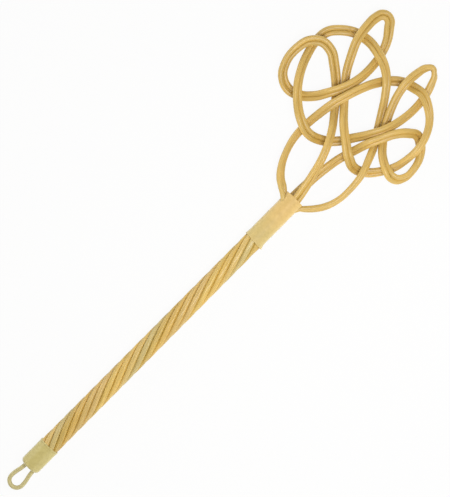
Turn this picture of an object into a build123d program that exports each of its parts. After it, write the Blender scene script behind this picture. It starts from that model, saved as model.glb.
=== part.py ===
from build123d import *
from math import atan, cos, pi, radians, sin, sqrt
import os

# A plastic cane carpet beater, lying flat. The handle runs along Y with the knot at
# its +Y end, X is across and Z is the thickness. Four long canes, each a plastic
# sheath round a steel wire, make the whole beater: they lie side by side in two
# pairs, each pair is tied into half of the knot, and the eight cane ends go down
# through the neck and are twisted round a rod as the handle.

# Canes
CANE_D = 6.0
WIRE_D = 1.8
WIRE_CLEARANCE = 0.25
PAIR_GAP = 0.5
STRAND_GAP = 0.2
CORE_CLEARANCE = 0.2

# Handle, from the closed end of the cap to the foot of the knot
CAP_LENGTH = 34.7
GRIP_LENGTH = 333.7
SLEEVE_LENGTH = 68.8
SOCKET_DEPTH = 22.5
STILL_LENGTH = 5.4
EXIT_LENGTH = 15.3
LEAD_AT_CAP = 138.0
LEAD_AT_NECK = 195.0

# End cap and neck sleeve
CAP_WALL = 0.7
CAP_CLEARANCE = 0.15
CAP_ROUNDING = 4.5
CAP_LIP_HEIGHT = 0.35
CAP_LIP_WIDTH = 1.6
SLEEVE_WALL = 0.6
SLEEVE_CLEARANCE = 0.2
SLEEVE_FLARE = 0.35
SLEEVE_LIP_HEIGHT = 0.6
SLEEVE_LIP_WIDTH = 7.0
SLOT_CLEARANCE = 0.15
CORE_SLEEVE_REACH = 40.0

# Hanging loop
LOOP_D = 5.0
LOOP_LEG_SPACING = 11.8
LOOP_WIDTH = 17.1
LOOP_REACH = 31.7
LOOP_OFFSET = 1.2
LEG_DEPTH = 9.5
LEG_CLEARANCE = 0.25

# Knot, measured on the middle lines of the pairs
KNOT_WIDTH = 197.0
KNOT_LENGTH = 225.5
LIFT_SHARE = 0.933

# The route of each pair through the knot: across from the handle's line, as a share
# of the knot's width; along from the sleeve's top, as a share of its length; height
# over the middle level, as a share of the lift; and the roll of the pair in degrees,
# which is 0 where its two canes lie side by side.
LEFT_PAIR_SHARES = [
    (-0.063, -0.028, 0.45, 72), (-0.098, -0.004, 0.42, 48), (-0.144, 0.023, 0.30, 50),
    (-0.191, 0.072, 0.10, 60), (-0.230, 0.142, -0.40, 68), (-0.254, 0.219, -0.95, 62),
    (-0.259, 0.311, -1.10, 52), (-0.249, 0.399, 0.10, 50), (-0.233, 0.481, 1.00, 48),
    (-0.205, 0.568, 1.10, 48), (-0.175, 0.645, 0.80, 46), (-0.141, 0.712, -0.40, 42),
    (-0.094, 0.772, -1.00, 34), (-0.036, 0.815, -1.10, 25), (0.034, 0.835, -0.45, 10),
    (0.105, 0.838, 0.85, -12), (0.176, 0.812, 0.95, -35), (0.241, 0.766, 0.70, -52),
    (0.286, 0.700, 1.00, -58), (0.307, 0.623, 1.05, -60), (0.305, 0.546, 0.10, -62),
    (0.284, 0.469, -0.95, -52), (0.247, 0.412, -1.10, -46), (0.198, 0.361, -1.15, -36),
    (0.127, 0.327, -0.60, -18), (0.051, 0.344, 0.90, 15), (-0.020, 0.387, 1.10, 35),
    (-0.091, 0.436, 0.80, 42), (-0.162, 0.502, -0.80, 46), (-0.233, 0.573, -1.10, 48),
    (-0.299, 0.639, -0.80, 46), (-0.354, 0.721, 0.20, 42), (-0.394, 0.798, 1.00, 38),
    (-0.411, 0.885, 0.70, 31), (-0.410, 0.951, 0.20, 17), (-0.398, 0.983, 0.05, 8),
    (-0.370, 0.998, -0.10, 0), (-0.338, 0.990, -0.20, -8), (-0.315, 0.966, -0.30, -15),
    (-0.269, 0.912, -0.70, -34), (-0.236, 0.835, -1.10, -44), (-0.223, 0.748, -0.30, -46),
    (-0.228, 0.660, 0.85, -46), (-0.255, 0.578, 1.10, -46), (-0.297, 0.506, 1.00, -40),
    (-0.344, 0.444, -0.20, -30), (-0.408, 0.397, -1.10, -22), (-0.484, 0.378, -0.90, 0),
    (-0.558, 0.404, -0.30, 30), (-0.605, 0.473, 0.10, 42), (-0.614, 0.550, 0.40, 40),
    (-0.588, 0.629, 1.00, 32), (-0.532, 0.668, 0.90, 18), (-0.463, 0.669, 0.30, 8),
    (-0.387, 0.630, -0.60, -8), (-0.316, 0.581, -1.10, -25), (-0.250, 0.522, -1.10, -38),
    (-0.186, 0.453, -1.00, -48), (-0.126, 0.379, 0.60, -52), (-0.082, 0.307, 1.10, -55),
    (-0.046, 0.226, 0.95, -55), (-0.021, 0.144, 1.10, -46), (-0.002, 0.067, 1.20, -32),
    (0.010, 0.000, 1.20, -24),
]
RIGHT_PAIR_SHARES = [
    (0.059, -0.024, -0.45, 95), (0.080, -0.006, -0.40, 80), (0.115, 0.025, -0.30, 72),
    (0.159, 0.080, 0.00, 70), (0.188, 0.156, 0.40, 76), (0.192, 0.238, 0.80, 74),
    (0.180, 0.325, 1.10, 66), (0.150, 0.401, 0.45, 58), (0.112, 0.483, -1.15, 50),
    (0.061, 0.555, -1.25, 46), (0.010, 0.626, -1.00, 48), (-0.047, 0.698, 0.20, 50),
    (-0.106, 0.759, 1.00, 42), (-0.177, 0.804, 1.00, 30), (-0.259, 0.829, 0.80, 12),
    (-0.342, 0.842, -0.40, 0), (-0.429, 0.828, -1.00, -5), (-0.503, 0.785, -0.80, -10),
    (-0.555, 0.730, -1.00, -20), (-0.565, 0.648, -1.10, -36), (-0.544, 0.571, -0.60, -42),
    (-0.511, 0.499, 0.50, -45), (-0.461, 0.428, 1.10, -42), (-0.390, 0.362, 0.90, -38),
    (-0.307, 0.311, 1.10, -30), (-0.219, 0.286, 0.30, -5), (-0.135, 0.310, -1.20, 20),
    (-0.065, 0.361, -1.30, 36), (-0.009, 0.431, -0.80, 42), (0.044, 0.498, 0.80, 46),
    (0.090, 0.575, 1.10, 48), (0.118, 0.663, 0.20, 52), (0.129, 0.750, -0.70, 54),
    (0.122, 0.837, -1.10, 52), (0.097, 0.912, -0.50, 60), (0.070, 0.955, -0.10, 76),
    (0.032, 0.971, 0.10, 95), (0.009, 0.949, 0.30, 112), (-0.008, 0.893, 0.80, 130),
    (-0.013, 0.826, 1.10, 132), (0.001, 0.749, 0.30, 130), (0.033, 0.673, -0.50, 130),
    (0.077, 0.598, -1.00, 134), (0.129, 0.533, -1.10, 136), (0.197, 0.467, 0.10, 138),
    (0.267, 0.433, 1.10, 152), (0.309, 0.425, 1.00, 180), (0.344, 0.435, 0.70, 210),
    (0.371, 0.472, 0.30, 236), (0.374, 0.537, -0.20, 242), (0.349, 0.608, -1.00, 228),
    (0.303, 0.654, -1.20, 202), (0.253, 0.674, -0.60, 168), (0.201, 0.646, 0.40, 146),
    (0.154, 0.597, 1.10, 136), (0.114, 0.529, 1.10, 134), (0.079, 0.463, 0.90, 132),
    (0.048, 0.385, -0.80, 134), (0.020, 0.303, -1.20, 134), (0.005, 0.226, -0.90, 134),
    (-0.006, 0.149, -1.20, 140), (-0.010, 0.077, -1.20, 150), (-0.012, 0.000, -1.20, 158),
]

# Each cane: its pair, its side of the pair (1 is left of the way it runs), and the two
# places in the ring of strands where it starts and ends, counted from the lowest right.
CANES = {
    "cane_1": (LEFT_PAIR_SHARES, 1, 4, 2),
    "cane_2": (LEFT_PAIR_SHARES, -1, 5, 3),
    "cane_3": (RIGHT_PAIR_SHARES, 1, 1, 6),
    "cane_4": (RIGHT_PAIR_SHARES, -1, 0, 7),
}
STRANDS = 2 * len(CANES)
FIRST_STRAND_ANGLE = radians(-42.5)

# Arcs: how many spans each strand has along the handle, and which are straight
GRIP_SPANS = 20
SLEEVE_SPANS = 3
EXIT_SPANS = 3
STRAIGHT_BEND = 1e-6

# Places along the handle, with the cap's closed end at zero
mouth_y = CAP_LENGTH
socket_y = mouth_y - SOCKET_DEPTH
sleeve_y = mouth_y + GRIP_LENGTH
knot_y = sleeve_y + SLEEVE_LENGTH
ring_y = knot_y - EXIT_LENGTH
still_y = ring_y - STILL_LENGTH

cane_r = CANE_D / 2
bore_r = WIRE_D / 2 + WIRE_CLEARANCE
lift = LIFT_SHARE * CANE_D
strand_pitch = 2 * pi / STRANDS
still_ring_r = (CANE_D + STRAND_GAP) / (2 * sin(strand_pitch / 2))

# Turns for each millimetre of handle: none at the two ends, tightest at the cap.
TWIST = [(socket_y, 0), (mouth_y, 1 / LEAD_AT_CAP), (sleeve_y, 1 / LEAD_AT_NECK), (still_y, 0)]


def twist_rate(y):
    """Turns for each millimetre of handle at y."""
    for (y0, rate0), (y1, rate1) in zip(TWIST, TWIST[1:]):
        if y <= y1:
            return rate0 + (rate1 - rate0) * (y - y0) / (y1 - y0)
    return TWIST[-1][1]


def turns_above(y):
    """Turns that the strands make between y and the top of the ring."""
    turns = 0
    for (y0, rate0), (y1, rate1) in zip(TWIST, TWIST[1:]):
        if y < y1:
            low = max(y, y0)
            turns += (twist_rate(low) + rate1) / 2 * (y1 - low)
    return turns


def ring_radius(y):
    """Radius of the ring of strand centres: wider where the strands lean over."""
    lean = atan(2 * pi * still_ring_r * twist_rate(y))
    lean = atan(2 * pi * still_ring_r / cos(lean) * twist_rate(y))
    return still_ring_r / cos(lean)


def strand_stations(place):
    """Points and directions of one strand, from its end in the cap up to the ring's top."""
    levels = [socket_y]
    levels += [mouth_y + GRIP_LENGTH * i / GRIP_SPANS for i in range(GRIP_SPANS)]
    levels += [sleeve_y + (still_y - sleeve_y) * i / SLEEVE_SPANS for i in range(SLEEVE_SPANS + 1)]
    levels += [ring_y]
    points, directions = [], []
    for y in levels:
        angle = FIRST_STRAND_ANGLE + place * strand_pitch - 2 * pi * turns_above(y)
        r = ring_radius(y)
        swing = 2 * pi * twist_rate(y) * r
        points.append(Vector(r * cos(angle), y, r * sin(angle)))
        directions.append(Vector(-swing * sin(angle), 1, swing * cos(angle)).normalized())
    return points, directions


def circle_direction(before, point, after):
    """Direction at a point of the circle through it and its two neighbours."""
    back, ahead = point - before, after - point
    return (back.normalized() * ahead.length + ahead.normalized() * back.length).normalized()


def route_directions(points):
    """Directions along a row of points; the two ends mirror their neighbours' turn."""
    inner = [circle_direction(*points[i - 1:i + 2]) for i in range(1, len(points) - 1)]
    first, last = (points[1] - points[0]).normalized(), (points[-1] - points[-2]).normalized()
    start = first * (2 * first.dot(inner[0])) - inner[0]
    end = last * (2 * last.dot(inner[-1])) - inner[-1]
    return [start] + inner + [end]


def cane_points(pair_shares, side):
    """Points of one cane of a pair through the knot."""
    middle = [Vector(across * KNOT_WIDTH, knot_y + along * KNOT_LENGTH, height * lift)
              for across, along, height, roll in pair_shares]
    reach = side * (CANE_D + PAIR_GAP) / 2
    points = []
    for point, ahead, row in zip(middle, route_directions(middle), pair_shares):
        roll = radians(row[3])
        left = Vector(-ahead.Y, ahead.X, 0).normalized()
        points.append(point + left * (reach * cos(roll)) + ahead.cross(left) * (reach * sin(roll)))
    return points


def two_arcs(start, start_direction, end, end_direction):
    """The two arcs, or the line, that join two points in their given directions."""
    span = end - start
    if start_direction.cross(span).length + end_direction.cross(span).length < STRAIGHT_BEND:
        return [Edge.make_line(start, end)]
    both = start_direction + end_direction
    bend = 2 * (1 - start_direction.dot(end_direction))
    if bend < STRAIGHT_BEND:
        reach = span.dot(span) / (2 * span.dot(both))
    else:
        reach = (sqrt(span.dot(both) ** 2 + bend * span.dot(span)) - span.dot(both)) / bend
    joint = (start + end + (start_direction - end_direction) * reach) / 2
    return [Edge.make_tangent_arc(start, start_direction, joint),
            Edge.make_tangent_arc(end, end_direction * -1, joint)]


def arc_chain(points, directions):
    """Arcs through a row of points, smooth at every point."""
    edges = []
    for i in range(len(points) - 1):
        edges += two_arcs(points[i], directions[i], points[i + 1], directions[i + 1])
    return edges


def cane_route(pair_shares, side, start_place, end_place):
    """Points and directions of a whole cane: up the handle, through the knot and down again."""
    up, up_directions = strand_stations(start_place)
    down, down_directions = strand_stations(end_place)
    knot = cane_points(pair_shares, side)
    points = up + knot + down[::-1]
    near = route_directions([up[-1]] + knot + [down[-1]])[1:-1]
    return points, up_directions + near + [d * -1 for d in down_directions[::-1]]


def rod(edges, radius):
    """A round bar of the given radius along a chain of edges."""
    path = Wire(edges)
    start = Plane(origin=path @ 0, z_dir=path % 0)
    return sweep(start * Circle(radius), path=path)


def turned(profile_points):
    """A body turned about the handle's axis from (radius, y) points."""
    return revolve(make_face(Polyline(*profile_points, close=True)), Axis.Y)


# Canes: each sheath is one unbroken tube, and its wire runs from end to end in the bore.
def build_canes():
    parts = {}
    for number, (name, cane) in enumerate(CANES.items(), start=1):
        edges = arc_chain(*cane_route(*cane))
        parts[name] = rod(edges, cane_r) - rod(edges, bore_r)
        parts[f"cane_wire_{number}"] = rod(edges, WIRE_D / 2)
    return parts


# Handle core: the rod that the eight strands are twisted round.
def build_core():
    core_r = still_ring_r - cane_r - CORE_CLEARANCE
    length = sleeve_y + CORE_SLEEVE_REACH - socket_y
    return Plane.XZ.offset(-socket_y) * extrude(Circle(core_r), -length)


# Neck sleeve: a thin tube over the strands, cut where the two side pairs leave it.
def build_sleeve():
    foot_r = ring_radius(sleeve_y) + cane_r + SLEEVE_CLEARANCE
    waist_r = still_ring_r + cane_r + SLEEVE_CLEARANCE
    top_r = waist_r + SLEEVE_FLARE
    sleeve = turned([
        (foot_r, sleeve_y), (waist_r, still_y), (waist_r, ring_y), (top_r, knot_y),
        (top_r + SLEEVE_WALL, knot_y), (waist_r + SLEEVE_WALL, ring_y),
        (waist_r + SLEEVE_WALL, still_y), (foot_r + SLEEVE_WALL, sleeve_y + SLEEVE_LIP_WIDTH),
        (foot_r + SLEEVE_WALL + SLEEVE_LIP_HEIGHT, sleeve_y),
    ])
    for cane in CANES.values():
        points, directions = cane_route(*cane)
        ring = points.index(strand_stations(cane[2])[0][-1])
        leaving = slice(ring, ring + EXIT_SPANS + 1)
        sleeve -= rod(arc_chain(points[leaving], directions[leaving]), cane_r + SLOT_CLEARANCE)
    return sleeve


# End cap: a turned cup with a lip, a socket for the strands and two holes for the loop.
def build_cap():
    socket_r = ring_radius(mouth_y) + cane_r + CAP_CLEARANCE
    outer_r = socket_r + CAP_WALL
    cap = turned([
        (0, 0), (outer_r, 0), (outer_r, mouth_y - CAP_LIP_WIDTH),
        (outer_r + CAP_LIP_HEIGHT, mouth_y - CAP_LIP_WIDTH), (outer_r + CAP_LIP_HEIGHT, mouth_y),
        (socket_r, mouth_y), (socket_r, socket_y), (0, socket_y),
    ])
    closed_edge = cap.edges().filter_by(GeomType.CIRCLE).sort_by(Axis.Y)[0]
    cap = fillet(closed_edge, CAP_ROUNDING)
    hole = Plane.XZ * extrude(Circle(LOOP_D / 2 + LEG_CLEARANCE), -(LEG_DEPTH + LEG_CLEARANCE))
    for side in (-1, 1):
        cap -= Pos(LOOP_OFFSET + side * LOOP_LEG_SPACING / 2, 0, 0) * hole
    return cap


# Hanging loop: one short cane bent to a drop shape, with both legs in the cap.
def build_loop():
    leg_x, wide_x = LOOP_LEG_SPACING / 2, LOOP_WIDTH / 2
    round_y = -(LOOP_REACH - LOOP_D / 2 - wide_x)
    points = [(-leg_x, LEG_DEPTH), (-leg_x, 0), (-wide_x, round_y), (0, round_y - wide_x),
              (wide_x, round_y), (leg_x, 0), (leg_x, LEG_DEPTH)]
    ways = [(0, -1), (0, -1), (0, -1), (1, 0), (0, 1), (0, 1), (0, 1)]
    stations = [Vector(x + LOOP_OFFSET, y, 0) for x, y in points]
    directions = [Vector(x, y, 0) for x, y in ways]
    bend = arc_chain(stations[1:-1], directions[1:-1])
    legs = [Edge.make_line(stations[0], stations[1]), Edge.make_line(stations[-2], stations[-1])]
    edges = [legs[0]] + bend + [legs[1]]
    sheath = rod(edges, LOOP_D / 2) - rod(edges, bore_r)
    return {"hanging_loop": sheath, "loop_wire": rod(edges, WIRE_D / 2)}


parts = build_canes()
parts["handle_core"] = build_core()
parts["neck_sleeve"] = build_sleeve()
parts["end_cap"] = build_cap()
parts.update(build_loop())

# The origin is under the middle of the whole beater, on the surface that it lies on.
boxes = [solid.bounding_box() for solid in parts.values()]
low_x, high_x = min(box.min.X for box in boxes), max(box.max.X for box in boxes)
low_y, high_y = min(box.min.Y for box in boxes), max(box.max.Y for box in boxes)
low_z, high_z = min(box.min.Z for box in boxes), max(box.max.Z for box in boxes)
origin = Vector((low_x + high_x) / 2, (low_y + high_y) / 2, low_z)

os.makedirs("parts", exist_ok=True)
for name, solid in parts.items():
    export_step(Pos(-origin) * solid, f"parts/{name}.step")
    print(name, "volume", round(solid.volume), "valid", solid.is_valid)
print("size", high_x - low_x, high_y - low_y, high_z - low_z)
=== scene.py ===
import math

import bpy
import numpy as np
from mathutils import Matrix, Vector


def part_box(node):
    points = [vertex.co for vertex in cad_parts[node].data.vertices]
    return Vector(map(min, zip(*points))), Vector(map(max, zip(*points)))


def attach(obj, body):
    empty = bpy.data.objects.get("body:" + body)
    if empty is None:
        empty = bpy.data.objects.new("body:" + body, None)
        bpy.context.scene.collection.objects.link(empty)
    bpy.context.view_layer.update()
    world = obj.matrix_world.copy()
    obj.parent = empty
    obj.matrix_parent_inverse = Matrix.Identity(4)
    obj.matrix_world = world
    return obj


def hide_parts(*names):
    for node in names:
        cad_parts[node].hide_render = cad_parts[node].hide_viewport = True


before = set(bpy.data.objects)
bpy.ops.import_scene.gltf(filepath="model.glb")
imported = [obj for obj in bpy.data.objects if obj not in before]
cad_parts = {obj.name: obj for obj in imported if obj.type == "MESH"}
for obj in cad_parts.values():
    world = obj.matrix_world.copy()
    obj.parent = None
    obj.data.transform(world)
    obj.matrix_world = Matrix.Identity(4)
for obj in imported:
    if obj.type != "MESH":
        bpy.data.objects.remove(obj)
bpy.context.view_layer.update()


# The rod in the handle: a plain turned stick of beech that the eight strands are
# twisted round. It is hidden by them, and shows only if the beater is taken apart.
MM = 0.001


def node_tools(tree):
    """Two short ways to add nodes to a node tree and to join them."""
    def add(kind, **settings):
        node = tree.nodes.new(kind)
        for key, value in settings.items():
            setattr(node, key, value)
        return node

    return add, tree.links.new


def new_finish(name):
    """A new material, its shader, and the tools that add and join its nodes."""
    finish = bpy.data.materials.new(name)
    finish.use_nodes = True
    return finish, finish.node_tree.nodes["Principled BSDF"], *node_tools(finish.node_tree)


def place_in_metres(add, join, stretch=(1, 1, 1)):
    """A piece's own coordinates in metres, or stretched for grain that runs one way."""
    place = add("ShaderNodeTexCoord")
    scale = add("ShaderNodeMapping")
    scale.inputs["Scale"].default_value = stretch
    join(place.outputs["Object"], scale.inputs["Vector"])
    return scale.outputs["Vector"]


# The heights of the grain at which it has reached its dark and its light tone.
GRAIN_DARK_AT, GRAIN_LIGHT_AT = 0.3, 0.7


def grain_colours(add, join, where, grains, dark, light, detail=4.0):
    """Height and colour of a grain that drifts between a dark and a light tone.

    grains is how many grains go in a length of one in the coordinates of where.
    """
    grain = add("ShaderNodeTexNoise")
    grain.inputs["Scale"].default_value = grains
    grain.inputs["Detail"].default_value = detail
    ramp = add("ShaderNodeValToRGB")
    for stop, position, tone in zip(ramp.color_ramp.elements,
                                    (GRAIN_DARK_AT, GRAIN_LIGHT_AT), (dark, light)):
        stop.position = position
        stop.color = (*tone, 1)
    join(where, grain.inputs["Vector"])
    join(grain.outputs["Fac"], ramp.inputs["Fac"])
    return grain.outputs["Fac"], ramp.outputs["Color"]


def raise_grain(add, join, shader, height, depth):
    """Makes a grain felt on the surface, with the given depth in metres."""
    bump = add("ShaderNodeBump")
    bump.inputs["Strength"].default_value = 1.0
    bump.inputs["Distance"].default_value = depth
    join(height, bump.inputs["Height"])
    join(bump.outputs["Normal"], shader.inputs["Normal"])


def dress(node, finish):
    """Gives a piece that comes straight from the CAD its finish."""
    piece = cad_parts[node]
    piece.data.materials.clear()
    piece.data.materials.append(finish)


ROD_DARK, ROD_LIGHT = (0.36, 0.22, 0.11), (0.50, 0.34, 0.19)
ROD_GRAINS_A_METRE = (900, 14, 900)
ROD_GRAIN_DEPTH = 0.05 * MM
beech, shader, add, join = new_finish("beech_rod")
along_rod = place_in_metres(add, join, ROD_GRAINS_A_METRE)
height, colour = grain_colours(add, join, along_rod, 1.0, ROD_DARK, ROD_LIGHT)
join(colour, shader.inputs["Base Color"])
shader.inputs["Roughness"].default_value = 0.7
raise_grain(add, join, shader, height, ROD_GRAIN_DEPTH)
dress("handle_core", beech)


# The wires: one drawn steel wire in each cane, and a short one in the hanging loop.
# They hold the bends of the knot, and are closed in by the plastic from end to end.
WIRE_DARK, WIRE_LIGHT = (0.34, 0.34, 0.36), (0.50, 0.50, 0.52)
WIRE_GRAINS_A_METRE = 2400
WIRE_GRAIN_DEPTH = 0.01 * MM
drawn_wire, shader, add, join = new_finish("drawn_wire")
on_wire = place_in_metres(add, join)
height, colour = grain_colours(add, join, on_wire, WIRE_GRAINS_A_METRE, WIRE_DARK, WIRE_LIGHT)
join(colour, shader.inputs["Base Color"])
shader.inputs["Metallic"].default_value = 1.0
shader.inputs["Roughness"].default_value = 0.38
raise_grain(add, join, shader, height, WIRE_GRAIN_DEPTH)
for wire in ("cane_wire_1", "cane_wire_2", "cane_wire_3", "cane_wire_4", "loop_wire"):
    dress(wire, drawn_wire)


# The canes: four long canes of ochre plastic, drawn over wire with a fine grain along
# them. They run in two pairs through the knot, and their eight ends are twisted round
# the rod, where they press each other a little flat.
CANE_D = 6.0 * MM
CANE_SWELL = 0.06 * MM
PAIR_GAP = 0.13 * MM
STRAND_GAP = 0.2 * MM
GRIP_LENGTH = 333.7 * MM
SLEEVE_LENGTH = 68.8 * MM
SOCKET_DEPTH = 22.5 * MM
STILL_LENGTH = 5.4 * MM
EXIT_LENGTH = 15.3 * MM
LEAD_AT_CAP = 138.0 * MM
LEAD_AT_NECK = 195.0 * MM
KNOT_WIDTH = 197.0 * MM
KNOT_LENGTH = 225.5 * MM
LIFT = 0.933 * CANE_D
STRANDS = 8
FIRST_STRAND_ANGLE = math.radians(-42.5)
GRIP_SPANS = 20
SLEEVE_SPANS = 3

# The middle line of each pair: across and along the knot, height and roll, as shares of
# the knot's width, its length and the lift of a crossing, and degrees.
LEFT_PAIR = [
    (-0.063, -0.028, 0.45, 72), (-0.098, -0.004, 0.42, 48), (-0.144, 0.023, 0.30, 50),
    (-0.191, 0.072, 0.10, 60), (-0.230, 0.142, -0.40, 68), (-0.254, 0.219, -0.95, 62),
    (-0.259, 0.311, -1.10, 52), (-0.249, 0.399, 0.10, 50), (-0.233, 0.481, 1.00, 48),
    (-0.205, 0.568, 1.10, 48), (-0.175, 0.645, 0.80, 46), (-0.141, 0.712, -0.40, 42),
    (-0.094, 0.772, -1.00, 34), (-0.036, 0.815, -1.10, 25), (0.034, 0.835, -0.45, 10),
    (0.105, 0.838, 0.85, -12), (0.176, 0.812, 0.95, -35), (0.241, 0.766, 0.70, -52),
    (0.286, 0.700, 1.00, -58), (0.307, 0.623, 1.05, -60), (0.305, 0.546, 0.10, -62),
    (0.284, 0.469, -0.95, -52), (0.247, 0.412, -1.10, -46), (0.198, 0.361, -1.15, -36),
    (0.127, 0.327, -0.60, -18), (0.051, 0.344, 0.90, 15), (-0.020, 0.387, 1.10, 35),
    (-0.091, 0.436, 0.80, 42), (-0.162, 0.502, -0.80, 46), (-0.233, 0.573, -1.10, 48),
    (-0.299, 0.639, -0.80, 46), (-0.354, 0.721, 0.20, 42), (-0.394, 0.798, 1.00, 38),
    (-0.411, 0.885, 0.70, 31), (-0.410, 0.951, 0.20, 17), (-0.398, 0.983, 0.05, 8),
    (-0.370, 0.998, -0.10, 0), (-0.338, 0.990, -0.20, -8), (-0.315, 0.966, -0.30, -15),
    (-0.269, 0.912, -0.70, -34), (-0.236, 0.835, -1.10, -44), (-0.223, 0.748, -0.30, -46),
    (-0.228, 0.660, 0.85, -46), (-0.255, 0.578, 1.10, -46), (-0.297, 0.506, 1.00, -40),
    (-0.344, 0.444, -0.20, -30), (-0.408, 0.397, -1.10, -22), (-0.484, 0.378, -0.90, 0),
    (-0.558, 0.404, -0.30, 30), (-0.605, 0.473, 0.10, 42), (-0.614, 0.550, 0.40, 40),
    (-0.588, 0.629, 1.00, 32), (-0.532, 0.668, 0.90, 18), (-0.463, 0.669, 0.30, 8),
    (-0.387, 0.630, -0.60, -8), (-0.316, 0.581, -1.10, -25), (-0.250, 0.522, -1.10, -38),
    (-0.186, 0.453, -1.00, -48), (-0.126, 0.379, 0.60, -52), (-0.082, 0.307, 1.10, -55),
    (-0.046, 0.226, 0.95, -55), (-0.021, 0.144, 1.10, -46), (-0.002, 0.067, 1.20, -32),
    (0.010, 0.000, 1.20, -24),
]
RIGHT_PAIR = [
    (0.059, -0.024, -0.45, 95), (0.080, -0.006, -0.40, 80), (0.115, 0.025, -0.30, 72),
    (0.159, 0.080, 0.00, 70), (0.188, 0.156, 0.40, 76), (0.192, 0.238, 0.80, 74),
    (0.180, 0.325, 1.10, 66), (0.150, 0.401, 0.45, 58), (0.112, 0.483, -1.15, 50),
    (0.061, 0.555, -1.25, 46), (0.010, 0.626, -1.00, 48), (-0.047, 0.698, 0.20, 50),
    (-0.106, 0.759, 1.00, 42), (-0.177, 0.804, 1.00, 30), (-0.259, 0.829, 0.80, 12),
    (-0.342, 0.842, -0.40, 0), (-0.429, 0.828, -1.00, -5), (-0.503, 0.785, -0.80, -10),
    (-0.555, 0.730, -1.00, -20), (-0.565, 0.648, -1.10, -36), (-0.544, 0.571, -0.60, -42),
    (-0.511, 0.499, 0.50, -45), (-0.461, 0.428, 1.10, -42), (-0.390, 0.362, 0.90, -38),
    (-0.307, 0.311, 1.10, -30), (-0.219, 0.286, 0.30, -5), (-0.135, 0.310, -1.20, 20),
    (-0.065, 0.361, -1.30, 36), (-0.009, 0.431, -0.80, 42), (0.044, 0.498, 0.80, 46),
    (0.090, 0.575, 1.10, 48), (0.118, 0.663, 0.20, 52), (0.129, 0.750, -0.70, 54),
    (0.122, 0.837, -1.10, 52), (0.097, 0.912, -0.50, 60), (0.070, 0.955, -0.10, 76),
    (0.032, 0.971, 0.10, 95), (0.009, 0.949, 0.30, 112), (-0.008, 0.893, 0.80, 130),
    (-0.013, 0.826, 1.10, 132), (0.001, 0.749, 0.30, 130), (0.033, 0.673, -0.50, 130),
    (0.077, 0.598, -1.00, 134), (0.129, 0.533, -1.10, 136), (0.197, 0.467, 0.10, 138),
    (0.267, 0.433, 1.10, 152), (0.309, 0.425, 1.00, 180), (0.344, 0.435, 0.70, 210),
    (0.371, 0.472, 0.30, 236), (0.374, 0.537, -0.20, 242), (0.349, 0.608, -1.00, 228),
    (0.303, 0.654, -1.20, 202), (0.253, 0.674, -0.60, 168), (0.201, 0.646, 0.40, 146),
    (0.154, 0.597, 1.10, 136), (0.114, 0.529, 1.10, 134), (0.079, 0.463, 0.90, 132),
    (0.048, 0.385, -0.80, 134), (0.020, 0.303, -1.20, 134), (0.005, 0.226, -0.90, 134),
    (-0.006, 0.149, -1.20, 140), (-0.010, 0.077, -1.20, 150), (-0.012, 0.000, -1.20, 158),
]
# Pair, side of the pair, and the strands that the cane starts and ends as.
CANES = {
    "cane_1": (LEFT_PAIR, 1, 4, 2),
    "cane_2": (LEFT_PAIR, -1, 5, 3),
    "cane_3": (RIGHT_PAIR, 1, 1, 6),
    "cane_4": (RIGHT_PAIR, -1, 0, 7),
}

rod_low, rod_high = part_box("handle_core")
axis_x, axis_z = (rod_low[0] + rod_high[0]) / 2, (rod_low[2] + rod_high[2]) / 2
socket_y = rod_low[1]
mouth_y = socket_y + SOCKET_DEPTH
sleeve_y = mouth_y + GRIP_LENGTH
knot_y = sleeve_y + SLEEVE_LENGTH
ring_y = knot_y - EXIT_LENGTH
still_y = ring_y - STILL_LENGTH
cane_r = CANE_D / 2
strand_pitch = 2 * math.pi / STRANDS
still_ring_r = (CANE_D + STRAND_GAP) / (2 * math.sin(strand_pitch / 2))
# Turns for each metre of handle: none at the strands' lower ends in the cap, and none
# again just below the top of the ring.
TWIST = [
    (socket_y, 0), (mouth_y, 1 / LEAD_AT_CAP), (sleeve_y, 1 / LEAD_AT_NECK), (still_y, 0),
]


def unit(v):
    """A direction with the length one."""
    return v / np.linalg.norm(v)


def twist_rate(y):
    """Turns for each metre of handle at y."""
    return float(np.interp(y, [row[0] for row in TWIST], [row[1] for row in TWIST]))


def turns_above(y):
    """Turns that the strands make between y and the top of the ring."""
    turns = 0
    for (y0, _), (y1, rate1) in zip(TWIST, TWIST[1:]):
        if y < y1:
            low = max(y, y0)
            turns += (twist_rate(low) + rate1) / 2 * (y1 - low)
    return turns


def ring_radius(y):
    """Radius of the ring of strand centres."""
    lean = math.atan(2 * math.pi * still_ring_r * twist_rate(y))
    lean = math.atan(2 * math.pi * still_ring_r / math.cos(lean) * twist_rate(y))
    return still_ring_r / math.cos(lean)


def strand_stations(place):
    """Points and directions of one strand, from the cap up to the top of the ring."""
    levels = [socket_y]
    levels += [mouth_y + GRIP_LENGTH * i / GRIP_SPANS for i in range(GRIP_SPANS)]
    levels += [sleeve_y + (still_y - sleeve_y) * i / SLEEVE_SPANS
               for i in range(SLEEVE_SPANS + 1)]
    levels += [ring_y]
    points, directions = [], []
    for y in levels:
        angle = FIRST_STRAND_ANGLE + place * strand_pitch - 2 * math.pi * turns_above(y)
        r = ring_radius(y)
        swing = 2 * math.pi * twist_rate(y) * r
        across, up = math.cos(angle), math.sin(angle)
        points.append(np.array((axis_x + r * across, y, axis_z + r * up)))
        directions.append(unit(np.array((-swing * up, 1, swing * across))))
    return points, directions


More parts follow.
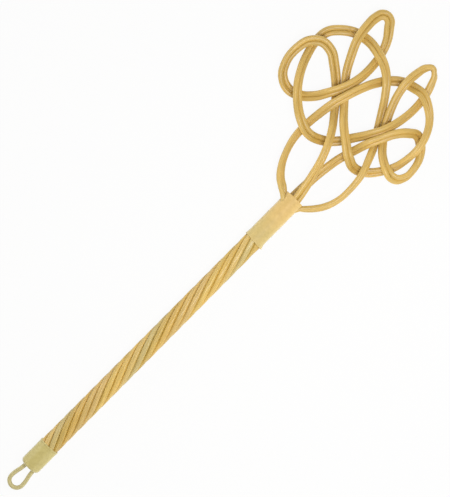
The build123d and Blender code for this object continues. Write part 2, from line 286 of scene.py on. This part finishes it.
def route_directions(points):
    """Directions along a row of points, each that of the circle through its neighbours."""
    inner = []
    for before, point, after in zip(points, points[1:], points[2:]):
        back, ahead = point - before, after - point
        turned = unit(back) * np.linalg.norm(ahead) + unit(ahead) * np.linalg.norm(back)
        inner.append(unit(turned))
    first, last = unit(points[1] - points[0]), unit(points[-1] - points[-2])
    start = first * (2 * first.dot(inner[0])) - inner[0]
    end = last * (2 * last.dot(inner[-1])) - inner[-1]
    return [start] + inner + [end]


def cane_route(pair, side, start_place, end_place):
    """Stations of a whole cane: up the handle, through the knot and down again."""
    up, up_directions = strand_stations(start_place)
    down, down_directions = strand_stations(end_place)
    middle = [np.array((axis_x + across * KNOT_WIDTH, knot_y + along * KNOT_LENGTH,
                        axis_z + height * LIFT)) for across, along, height, roll in pair]
    reach = side * (CANE_D + PAIR_GAP) / 2
    knot = []
    for point, ahead, row in zip(middle, route_directions(middle), pair):
        roll = math.radians(row[3])
        left = unit(np.array((-ahead[1], ahead[0], 0)))
        beside = left * math.cos(roll) + np.cross(ahead, left) * math.sin(roll)
        knot.append(point + reach * beside)
    near = route_directions([up[-1]] + knot + [down[-1]])[1:-1]
    return up + knot + down[::-1], up_directions + near + [-d for d in down_directions[::-1]]


# A span of a cane is cut into pieces that turn and reach no more than these. A turn or a
# length that is smaller than the last two counts as none.
TURN_STEP = math.radians(7)
LENGTH_STEP = 6 * MM
NO_TURN = 1e-5
TINY = 1e-9


def arc_points(start, way, end, turn_step, length_step):
    """Points and directions along the arc from start to end, without its last point."""
    chord = end - start
    reach = np.linalg.norm(chord)
    half = math.acos(max(-1.0, min(1.0, way.dot(chord) / reach)))
    pieces = max(1, math.ceil(2 * half / turn_step), math.ceil(reach / length_step))
    if half < NO_TURN:
        return [(start + chord * i / pieces, way) for i in range(pieces)]
    inward = unit(chord - way * way.dot(chord))
    radius = reach / (2 * math.sin(half))
    rows = []
    for i in range(pieces):
        turn = 2 * half * i / pieces
        point = start + radius * (way * math.sin(turn) + inward * (1 - math.cos(turn)))
        rows.append((point, way * math.cos(turn) + inward * math.sin(turn)))
    return rows


def smooth_line(points, directions, turn_step=TURN_STEP, length_step=LENGTH_STEP):
    """Points and directions along two smooth arcs for each span between stations."""
    rows = []
    for a, ta, b, tb in zip(points, directions, points[1:], directions[1:]):
        span, both = b - a, ta + tb
        bend = 2 * (1 - ta.dot(tb))
        square = span.dot(span)
        if bend < TINY:
            reach = square / (2 * span.dot(both))
        else:
            reach = (math.sqrt(span.dot(both) ** 2 + bend * square) - span.dot(both)) / bend
        joint = (a + b + (ta - tb) * reach) / 2
        joint_way = unit(joint - a) * (2 * unit(joint - a).dot(ta)) - ta
        rows += arc_points(a, ta, joint, turn_step, length_step)
        rows += arc_points(joint, joint_way, b, turn_step, length_step)
    rows.append((points[-1], directions[-1]))
    return np.array([row[0] for row in rows]), np.array([row[1] for row in rows])


def carried_frames(line, ways, first):
    """A side direction at each point, carried along the line without twisting."""
    sides = [unit(first - ways[0] * ways[0].dot(first))]
    for before, way in zip(ways, ways[1:]):
        side = sides[-1]
        axis = before + way
        side = side - axis * (2 * axis.dot(side) / axis.dot(axis))
        sides.append(unit(side - way * way.dot(side)))
    return np.array(sides)


def tube_mesh(name, line, ways, sides, profile, around):
    """A closed tube along the line; profile(i, angles) gives its reach at ring i.

    Each corner also keeps its place on the straight cane, for the grain: across, across
    and along, in metres.
    """
    ups = np.cross(ways, sides)
    angles = np.arange(around) * (2 * math.pi / around)
    steps = np.linalg.norm(np.diff(line, axis=0), axis=1)
    lengths = np.concatenate([[0], np.cumsum(steps)])
    verts, places = [], []
    for i, (point, side, up) in enumerate(zip(line, sides, ups)):
        reach = profile(i, angles)
        flat = np.outer(reach * np.cos(angles), side) + np.outer(reach * np.sin(angles), up)
        verts.append(point + flat)
        places.append(np.column_stack([reach * np.cos(angles), reach * np.sin(angles),
                                       np.full(around, lengths[i])]))
    verts.append(np.array([line[0], line[-1]]))
    places.append(np.array([(0, 0, 0), (0, 0, lengths[-1])]))
    faces = []
    for i in range(len(line) - 1):
        for j in range(around):
            k = (j + 1) % around
            faces.append((i * around + j, i * around + k,
                          (i + 1) * around + k, (i + 1) * around + j))
    start, end = len(line) * around, len(line) * around + 1
    top = (len(line) - 1) * around
    for j in range(around):
        k = (j + 1) % around
        faces.append((start, k, j))
        faces.append((end, top + j, top + k))
    mesh = bpy.data.meshes.new(name)
    mesh.from_pydata(np.vstack(verts).tolist(), [], faces)
    mesh.polygons.foreach_set("use_smooth", [True] * len(mesh.polygons))
    spot = mesh.attributes.new("cane_place", "FLOAT_VECTOR", "POINT")
    spot.data.foreach_set("vector", np.vstack(places).astype(np.float32).ravel())
    mesh.update()
    return mesh


# How square a section is, from round on, and half its width and thickness when pressed.
ROUND = 2.0
STRAND_SQUARENESS = 3.0
STRAND_WIDTH = 3.09 * MM
STRAND_THICKNESS = 3.0 * MM
CANE_SIDES = 28


def press_share(y):
    """How far a strand is pressed flat: fully below the sleeve, less and less up in it."""
    return float(np.clip((still_y - y) / (still_y - sleeve_y), 0, 1))


def build_cane(name, pair, side, start_place, end_place):
    """The plastic of a whole cane, pressed a little flat in the handle, and its length.

    In the handle its outer side stays outermost. In the knot it follows the bends, with
    a slow turn that makes both ends fit.
    """
    line, ways = smooth_line(*cane_route(pair, side, start_place, end_place))
    outward = line - np.array([axis_x, 0, axis_z])
    outward[:, 1] = 0
    sides = carried_frames(line, ways, outward[0])
    in_handle = line[:, 1] < ring_y
    first_free = int(np.argmin(in_handle))
    last_free = len(line) - int(np.argmin(in_handle[::-1]))
    for i in np.nonzero(in_handle)[0]:
        sides[i] = unit(outward[i] - ways[i] * ways[i].dot(outward[i]))
    in_knot = slice(first_free - 1, last_free + 1)
    free = carried_frames(line[in_knot], ways[in_knot], sides[first_free - 1])
    goal = sides[last_free]
    slip = math.atan2(np.cross(free[-1], goal).dot(ways[last_free]), free[-1].dot(goal))
    for n, row in enumerate(free[:-1]):
        i = first_free - 1 + n
        turn = slip * n / (len(free) - 1)
        sides[i] = row * math.cos(turn) + np.cross(ways[i], row) * math.sin(turn)
    pressed = np.array([press_share(p[1]) if p[1] < still_y else 0.0 for p in line])

    def profile(i, angles):
        share = pressed[i]
        power = ROUND + (STRAND_SQUARENESS - ROUND) * share
        free_r = cane_r + CANE_SWELL
        high = free_r + (STRAND_THICKNESS - free_r) * share
        wide = free_r + (STRAND_WIDTH - free_r) * share
        return ((np.abs(np.cos(angles)) / high) ** power
                + (np.abs(np.sin(angles)) / wide) ** power) ** (-1 / power)

    mesh = tube_mesh(f"{name}_sheath", line, ways, sides, profile, CANE_SIDES)
    piece = bpy.data.objects.new(f"{name}_sheath", mesh)
    bpy.context.scene.collection.objects.link(piece)
    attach(piece, "root")
    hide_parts(name)
    return piece, float(np.linalg.norm(np.diff(line, axis=0), axis=1).sum())


KNOT_TONE = (0.71, 0.480, 0.117)
# The tone of each strand in the handle, by its place in the ring; the fifth is greenish.
STRAND_TONES = [
    (0.707, 0.494, 0.152), (0.707, 0.489, 0.137), (0.717, 0.478, 0.104),
    (0.665, 0.462, 0.104), (0.660, 0.513, 0.182), (0.738, 0.527, 0.152),
    (0.749, 0.516, 0.121), (0.728, 0.511, 0.121),
]
# Fine streaks and a slow drift of the tone: grains a metre across, across and along the
# cane, and the dark and the light shade that they multiply the tone by.
STREAKS = (1500, 1500, 45), (0.82, 0.82, 0.82), (1.15, 1.15, 1.15)
DRIFT = (160, 160, 22), (0.93, 0.92, 0.88), (1.06, 1.07, 1.12)
STREAK_DETAIL = 5.0
STREAK_DEPTH = 0.05 * MM
# How far from its end, in metres, a cane goes over from the tone of its strand to that
# of the knot. It does so in the sleeve and just above it.
TONE_STARTS, TONE_ENDS = 0.40, 0.47


def cane_finish(name, length, start_tone, end_tone):
    """Satin ochre plastic with fine streaks along the cane, and a tone for each end."""
    finish, shader, add, join = new_finish(name)
    place = add("ShaderNodeAttribute", attribute_name="cane_place")
    parts = add("ShaderNodeSeparateXYZ")
    join(place.outputs["Vector"], parts.inputs["Vector"])
    colour = None
    for strand_tone, low, high in ((start_tone, TONE_STARTS, TONE_ENDS),
                                   (end_tone, length - TONE_STARTS, length - TONE_ENDS)):
        into_knot = add("ShaderNodeMapRange", interpolation_type="SMOOTHSTEP")
        into_knot.inputs["From Min"].default_value = low
        into_knot.inputs["From Max"].default_value = high
        tone = add("ShaderNodeMix", data_type="RGBA")
        tone.inputs["A"].default_value = (*strand_tone, 1)
        tone.inputs["B"].default_value = (*KNOT_TONE, 1)
        join(parts.outputs["Z"], into_knot.inputs["Value"])
        join(into_knot.outputs["Result"], tone.inputs["Factor"])
        if colour:
            join(colour, tone.inputs["B"])
        colour = tone.outputs["Result"]
    heights = []
    for grains_a_metre, dark, light in (STREAKS, DRIFT):
        scaled = add("ShaderNodeMapping")
        scaled.inputs["Scale"].default_value = grains_a_metre
        join(place.outputs["Vector"], scaled.inputs["Vector"])
        height, shade = grain_colours(add, join, scaled.outputs["Vector"], 1.0,
                                      dark, light, STREAK_DETAIL)
        shaded = add("ShaderNodeMix", data_type="RGBA", blend_type="MULTIPLY")
        shaded.inputs["Factor"].default_value = 1.0
        join(colour, shaded.inputs["A"])
        join(shade, shaded.inputs["B"])
        colour = shaded.outputs["Result"]
        heights.append(height)
    join(colour, shader.inputs["Base Color"])
    shader.inputs["Roughness"].default_value = 0.48
    shader.inputs["Diffuse Roughness"].default_value = 0.6
    shader.inputs["Coat Weight"].default_value = 0.4
    shader.inputs["Coat Roughness"].default_value = 0.22
    raise_grain(add, join, shader, heights[0], STREAK_DEPTH)
    return finish


for name, cane in CANES.items():
    piece, length = build_cane(name, *cane)
    start_tone, end_tone = STRAND_TONES[cane[2]], STRAND_TONES[cane[3]]
    piece.data.materials.append(cane_finish(f"{name}_plastic", length, start_tone, end_tone))


# The end cap: a cup of greenish yellow plastic, moulded in one piece and pushed over the
# cut ends of the strands. It has a thin lip at its mouth and a rounded closed end.
CAP_DARK, CAP_LIGHT = (0.65, 0.555, 0.205), (0.72, 0.625, 0.25)
CAP_GRAINS_A_METRE = 260
CAP_GRAIN_DEPTH = 0.02 * MM
cap_plastic, shader, add, join = new_finish("cap_plastic")
on_cap = place_in_metres(add, join)
height, colour = grain_colours(add, join, on_cap, CAP_GRAINS_A_METRE, CAP_DARK, CAP_LIGHT)
join(colour, shader.inputs["Base Color"])
shader.inputs["Roughness"].default_value = 0.35
shader.inputs["Diffuse Roughness"].default_value = 1.0
shader.inputs["Sheen Weight"].default_value = 0.6
shader.inputs["Sheen Roughness"].default_value = 0.35
raise_grain(add, join, shader, height, CAP_GRAIN_DEPTH)
dress("end_cap", cap_plastic)


# The hanging loop: a short plastic cane over wire, bent to a drop shape, with both legs
# glued into the closed end of the cap.
LOOP_DARK, LOOP_LIGHT = (0.53, 0.455, 0.20), (0.685, 0.595, 0.28)
LOOP_GRAINS_A_METRE = 420
LOOP_GRAIN_DEPTH = 0.04 * MM
loop_plastic, shader, add, join = new_finish("loop_plastic")
on_loop = place_in_metres(add, join)
height, colour = grain_colours(add, join, on_loop, LOOP_GRAINS_A_METRE, LOOP_DARK, LOOP_LIGHT)
join(colour, shader.inputs["Base Color"])
shader.inputs["Roughness"].default_value = 0.35
raise_grain(add, join, shader, height, LOOP_GRAIN_DEPTH)
dress("hanging_loop", loop_plastic)


# The neck sleeve: a thin tube of pale ochre plastic, shrunk on over the eight strands
# where they leave the handle, and slit where the two side pairs come out. Its foot has
# a thicker lip, which stands off a little on the right.
SLEEVE_CLEARANCE = 0.2 * MM
SLEEVE_WALL = 0.6 * MM
SLEEVE_FLARE = 0.35 * MM
SLEEVE_LIP_HEIGHT = 0.6 * MM
SLEEVE_LIP_WIDTH = 7.0 * MM
SLEEVE_SIDES = 132
SLEEVE_ROWS = 124
# The foot is cut a little aslant, and its lip stands off on the right. The fades are the
# powers by which each wears off upwards, and the focus keeps the second to the right.
FOOT_SLANT = 0.9 * MM
FOOT_SLANT_FADE = 4
FOOT_STANDS_OFF = 1.1 * MM
FOOT_STANDS_OFF_FADE = 2
FOOT_STANDS_OFF_FOCUS = 3
# The strands show through the sleeve as a faint print, which fades over the first and
# the last quarter of its length.
STRAND_PRINT = 0.07 * MM
PRINT_QUARTERS = 4
# A slow unevenness: its height, its waves around, how far it winds along the sleeve, and
# where it starts and how far it runs along the sleeve, the last three in radians.
SLEEVE_WAVE = 0.11 * MM
WAVES_AROUND = 2
WAVE_WINDS = 9
WAVE_STARTS, WAVE_RUNS = 3.1, 14


def sleeve_outside(angle, y):
    """Outer radius of the sleeve, with its slight unevenness."""
    waist_r = still_ring_r + cane_r + SLEEVE_CLEARANCE + SLEEVE_WALL
    foot_r = ring_radius(sleeve_y) + cane_r + SLEEVE_CLEARANCE + SLEEVE_WALL
    lip_r = foot_r + SLEEVE_LIP_HEIGHT
    r = np.interp(y, [sleeve_y, sleeve_y + SLEEVE_LIP_WIDTH, still_y, ring_y, knot_y],
                  [lip_r, foot_r, waist_r, waist_r, waist_r + SLEEVE_FLARE])
    strands = (angle - FIRST_STRAND_ANGLE + 2 * math.pi * turns_above(y)) * STRANDS
    up = (y - sleeve_y) / SLEEVE_LENGTH
    fade = min(1, PRINT_QUARTERS * up, PRINT_QUARTERS * (1 - up))
    r += STRAND_PRINT * math.cos(strands) * fade
    r += (SLEEVE_WAVE * math.sin(WAVES_AROUND * angle + WAVE_WINDS * up)
          * math.sin(WAVE_STARTS + WAVE_RUNS * up))
    low = max(0.0, 1 - (y - sleeve_y) / SLEEVE_LIP_WIDTH)
    to_right = max(0.0, math.cos(angle))
    return r + (FOOT_STANDS_OFF * low ** FOOT_STANDS_OFF_FADE
                * to_right ** FOOT_STANDS_OFF_FOCUS)


# The slits follow the canes that leave, from a little below the top of the ring on.
EXIT_STARTS_BELOW = 2 * MM
EXIT_STEP = 0.5 * MM
EXIT_POINTS = 90


def exit_lines():
    """The way of each of the four canes that come out through the side of the sleeve."""
    lines = []
    for cane in CANES.values():
        line, _ = smooth_line(*cane_route(*cane), length_step=EXIT_STEP)
        first_half = np.arange(len(line)) < len(line) // 2
        leaving = (line[:, 1] > ring_y - EXIT_STARTS_BELOW) & first_half
        lines.append(line[leaving][:EXIT_POINTS])
    return np.vstack(lines)


leaving_canes = exit_lines()


def room_to_canes(angle, y):
    """Distance from a point of the sleeve's outside to the nearest leaving cane's line."""
    r = sleeve_outside(angle, y)
    spot = np.array((axis_x + r * math.cos(angle), y, axis_z + r * math.sin(angle)))
    return float(np.sqrt(((leaving_canes - spot) ** 2).sum(axis=1).min()))


# The slits keep this far off the canes, and start at most this far below the top of the
# ring. What lies lower counts as far from the canes.
SLIT_ROOM = 0.55 * MM
SLITS_BELOW_RING = 6 * MM
FAR = 1.0
# A corner on the rim of a slit, or this near to it on the top rim, is brought onto the
# slit's edge in short moves along the slope of its distance to the canes.
SLIT_EDGE = 1 * MM
EDGE_MOVES = 3
LONGEST_MOVE = 0.5 * MM
SLOPE_STEP = 0.05 * MM
LEAST_SLOPE = 0.2
SHARP_EDGE = math.radians(50)


def build_sleeve():
    """The sleeve as a tube with a wall, cut open along the slits."""
    slit_r = cane_r + SLIT_ROOM
    spots, room = {}, {}
    for i in range(SLEEVE_ROWS + 1):
        for j in range(SLEEVE_SIDES):
            angle = 2 * math.pi * j / SLEEVE_SIDES
            y = sleeve_y + SLEEVE_LENGTH * i / SLEEVE_ROWS
            y -= FOOT_SLANT * math.cos(angle) * (1 - i / SLEEVE_ROWS) ** FOOT_SLANT_FADE
            spots[i, j] = (angle, y)
            room[i, j] = room_to_canes(angle, y) if y > ring_y - SLITS_BELOW_RING else FAR
    cells = []
    for i in range(SLEEVE_ROWS):
        for j in range(SLEEVE_SIDES):
            k = (j + 1) % SLEEVE_SIDES
            corners = [(i, j), (i, k), (i + 1, k), (i + 1, j)]
            if all(room[c] >= slit_r for c in corners):
                cells.append(corners)
    edges = dict.fromkeys(edge for cell in cells for edge in zip(cell, cell[1:] + cell[:1]))
    rim = [(a, b) for a, b in edges if (b, a) not in edges]
    on_slit = {c for edge in rim for c in edge
               if 0 < c[0] < SLEEVE_ROWS or room[c] < slit_r + SLIT_EDGE}
    for c in on_slit:
        if room[c] >= FAR:
            continue
        for _ in range(EDGE_MOVES):
            angle, y = spots[c]
            r = sleeve_outside(angle, y)
            here = room_to_canes(angle, y)
            slope = np.array((room_to_canes(angle + SLOPE_STEP / r, y) - here,
                              room_to_canes(angle, y + SLOPE_STEP) - here)) / SLOPE_STEP
            if c[0] == SLEEVE_ROWS:
                slope[1] = 0
            move = slope * (slit_r - here) / max(slope.dot(slope), LEAST_SLOPE)
            move *= min(1.0, LONGEST_MOVE / max(np.linalg.norm(move), TINY))
            spots[c] = (angle + move[0] / r, y + move[1])
    kept = sorted({c for cell in cells for c in cell})
    number = {c: n for n, c in enumerate(kept)}
    verts = []
    for depth in (0, SLEEVE_WALL):
        for c in kept:
            angle, y = spots[c]
            r = sleeve_outside(angle, y) - depth
            verts.append((axis_x + r * math.cos(angle), y, axis_z + r * math.sin(angle)))
    under = len(kept)
    faces = [tuple(number[c] for c in reversed(cell)) for cell in cells]
    faces += [tuple(number[c] + under for c in cell) for cell in cells]
    faces += [(number[a], number[b], number[b] + under, number[a] + under) for a, b in rim]
    mesh = bpy.data.meshes.new("sleeve_tube")
    mesh.from_pydata(verts, [], faces)
    mesh.polygons.foreach_set("use_smooth", [True] * len(mesh.polygons))
    mesh.set_sharp_from_angle(angle=SHARP_EDGE)
    mesh.update()
    tube = bpy.data.objects.new("sleeve_tube", mesh)
    bpy.context.scene.collection.objects.link(tube)
    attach(tube, "root")
    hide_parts("neck_sleeve")
    return tube


SLEEVE_FOOT_TONES = (0.67, 0.53, 0.20), (0.75, 0.59, 0.23)
SLEEVE_TOP_TONES = (0.75, 0.54, 0.19), (0.83, 0.61, 0.23)
# The shares of its length over which the foot's tones go over to the top's.
TOP_TONES_START, TOP_TONES_END = 0.15, 0.75
SLEEVE_GRAINS_A_METRE = 190
SLEEVE_GRAIN_DETAIL = 2.0
SLEEVE_GRAIN_DEPTH = 0.04 * MM
sleeve_plastic, shader, add, join = new_finish("sleeve_plastic")
on_sleeve = place_in_metres(add, join)
mottle, foot_colour = grain_colours(add, join, on_sleeve, SLEEVE_GRAINS_A_METRE,
                                    *SLEEVE_FOOT_TONES, SLEEVE_GRAIN_DETAIL)
_, top_colour = grain_colours(add, join, on_sleeve, SLEEVE_GRAINS_A_METRE,
                              *SLEEVE_TOP_TONES, SLEEVE_GRAIN_DETAIL)
sleeve_parts = add("ShaderNodeSeparateXYZ")
rise = add("ShaderNodeMapRange", interpolation_type="SMOOTHSTEP")
rise.inputs["From Min"].default_value = sleeve_y + TOP_TONES_START * SLEEVE_LENGTH
rise.inputs["From Max"].default_value = sleeve_y + TOP_TONES_END * SLEEVE_LENGTH
blend = add("ShaderNodeMix", data_type="RGBA")
join(on_sleeve, sleeve_parts.inputs["Vector"])
join(sleeve_parts.outputs["Y"], rise.inputs["Value"])
join(rise.outputs["Result"], blend.inputs["Factor"])
join(foot_colour, blend.inputs["A"])
join(top_colour, blend.inputs["B"])
join(blend.outputs["Result"], shader.inputs["Base Color"])
shader.inputs["Roughness"].default_value = 0.55
shader.inputs["Diffuse Roughness"].default_value = 1.0
shader.inputs["Sheen Weight"].default_value = 0.9
shader.inputs["Sheen Roughness"].default_value = 0.35
raise_grain(add, join, shader, mottle, SLEEVE_GRAIN_DEPTH)
build_sleeve().data.materials.append(sleeve_plastic)


# The table that the beater lies on: a plain, matt white board, laid flat. It looks pure
# white from above, apart from a faint shadow under the beater.
def seen_as_ground(add, join):
    """1 for the rays that see the white ground: direct, mirrored or through glass."""
    path = add("ShaderNodeLightPath")
    total = path.outputs["Is Camera Ray"]
    for kind in ("Is Glossy Ray", "Is Transmission Ray"):
        both = add("ShaderNodeMath", operation="MAXIMUM")
        join(total, both.inputs[0])
        join(path.outputs[kind], both.inputs[1])
        total = both.outputs["Value"]
    return total


TABLE_REACH = 3.0
TABLE_SHADE = (0.90, 0.89, 0.86)
SHADOW_HELD_BACK = 0.93
table_mesh = bpy.data.meshes.new("table")
table_mesh.from_pydata([(-TABLE_REACH, -TABLE_REACH, 0), (TABLE_REACH, -TABLE_REACH, 0),
                        (TABLE_REACH, TABLE_REACH, 0), (-TABLE_REACH, TABLE_REACH, 0)],
                       [], [(0, 1, 2, 3)])
table = bpy.data.objects.new("table", table_mesh)
bpy.context.scene.collection.objects.link(table)
table_white, shader, add, join = new_finish("table_white")
shader.inputs["Base Color"].default_value = (*TABLE_SHADE, 1)
shader.inputs["Roughness"].default_value = 1.0
shader.inputs["Specular IOR Level"].default_value = 0.0
held = add("ShaderNodeMath", operation="MULTIPLY")
held.inputs[1].default_value = SHADOW_HELD_BACK
white = add("ShaderNodeEmission")
white.inputs["Strength"].default_value = 1.0
blend = add("ShaderNodeMixShader")
join(seen_as_ground(add, join), held.inputs[0])
join(held.outputs["Value"], blend.inputs["Fac"])
join(shader.outputs["BSDF"], blend.inputs[1])
join(white.outputs["Emission"], blend.inputs[2])
join(blend.outputs["Shader"], table_white.node_tree.nodes["Material Output"].inputs["Surface"])
table_mesh.materials.append(table_white)


# The light: a white tent whose walls are brightest just above the table, a broad soft
# light at each side of the handle, and one soft lamp high up on the right. The wall ends
# where the line of sight rises by the share WALL_TOP of its length.
SKY_STRENGTH = 0.28
WALL_STRENGTH = 2.2
WALL_TOP = 0.35
SIDE_LIGHT_TILT = math.radians(60)
SIDE_LIGHT_SPREAD = math.radians(40)
# The name of each side light, its strength, and how far round it stands from the right.
SIDE_LIGHTS = [
    ("left_light", 0.50, math.radians(180)),
    ("right_light", 0.40, math.radians(-20)),
]
HIGH_LAMP_POWER = 3.75
HIGH_LAMP_WIDTH = 0.45
HIGH_LAMP_SPOT = (0.20, 0.10, 0.80)
world = bpy.data.worlds.new("white_tent")
bpy.context.scene.world = world
world.use_nodes = True
sky = world.node_tree.nodes["Background"]
sky.inputs["Color"].default_value = (1, 1, 1, 1)
add, join = node_tools(world.node_tree)
brighter = add("ShaderNodeMix", data_type="FLOAT")
way = add("ShaderNodeTexCoord")
way_parts = add("ShaderNodeSeparateXYZ")
tent_wall = add("ShaderNodeMapRange", interpolation_type="SMOOTHSTEP")
tent_wall.inputs["From Min"].default_value = 0.0
tent_wall.inputs["From Max"].default_value = WALL_TOP
tent_wall.inputs["To Min"].default_value = WALL_STRENGTH
tent_wall.inputs["To Max"].default_value = SKY_STRENGTH
join(way.outputs["Generated"], way_parts.inputs["Vector"])
join(way_parts.outputs["Z"], tent_wall.inputs["Value"])
join(tent_wall.outputs["Result"], brighter.inputs["A"])
brighter.inputs["B"].default_value = 1.0
join(seen_as_ground(add, join), brighter.inputs["Factor"])
join(brighter.outputs["Result"], sky.inputs["Strength"])
for name, strength, side in SIDE_LIGHTS:
    side_light = bpy.data.lights.new(name, "SUN")
    side_light.energy = strength
    side_light.angle = SIDE_LIGHT_SPREAD
    lit_from = bpy.data.objects.new(name, side_light)
    lit_from.rotation_euler = (0, SIDE_LIGHT_TILT, side)
    bpy.context.scene.collection.objects.link(lit_from)
lamp_light = bpy.data.lights.new("high_lamp", "AREA")
lamp_light.shape = "DISK"
lamp_light.size = HIGH_LAMP_WIDTH
lamp_light.energy = HIGH_LAMP_POWER
high_lamp = bpy.data.objects.new("high_lamp", lamp_light)
high_lamp.location = HIGH_LAMP_SPOT
bpy.context.scene.collection.objects.link(high_lamp)


# The camera: it hangs straight above the beater, a little nearer to the knot than its
# middle, and is turned so that the beater lies from corner to corner of the picture.
CAMERA_HEIGHT = 2.0
CAMERA_SPOT = (0.00725, 0.0209)
CAMERA_TURN = math.radians(44.78)
BEATER_LENGTH = 0.700
BEATER_PIXELS = 605
METRES_A_PIXEL = BEATER_LENGTH / BEATER_PIXELS
PICTURE_HEIGHT = 497
SENSOR = 36.0
camera_data = bpy.data.cameras.new("camera")
camera_data.sensor_width = SENSOR
camera_data.lens = CAMERA_HEIGHT / (METRES_A_PIXEL * PICTURE_HEIGHT) * SENSOR
camera = bpy.data.objects.new("camera", camera_data)
camera.location = (*CAMERA_SPOT, axis_z + CAMERA_HEIGHT)
camera.rotation_euler = (0, 0, CAMERA_TURN)
bpy.context.scene.collection.objects.link(camera)
bpy.context.scene.camera = camera

bpy.context.scene.view_settings.view_transform = "Standard"
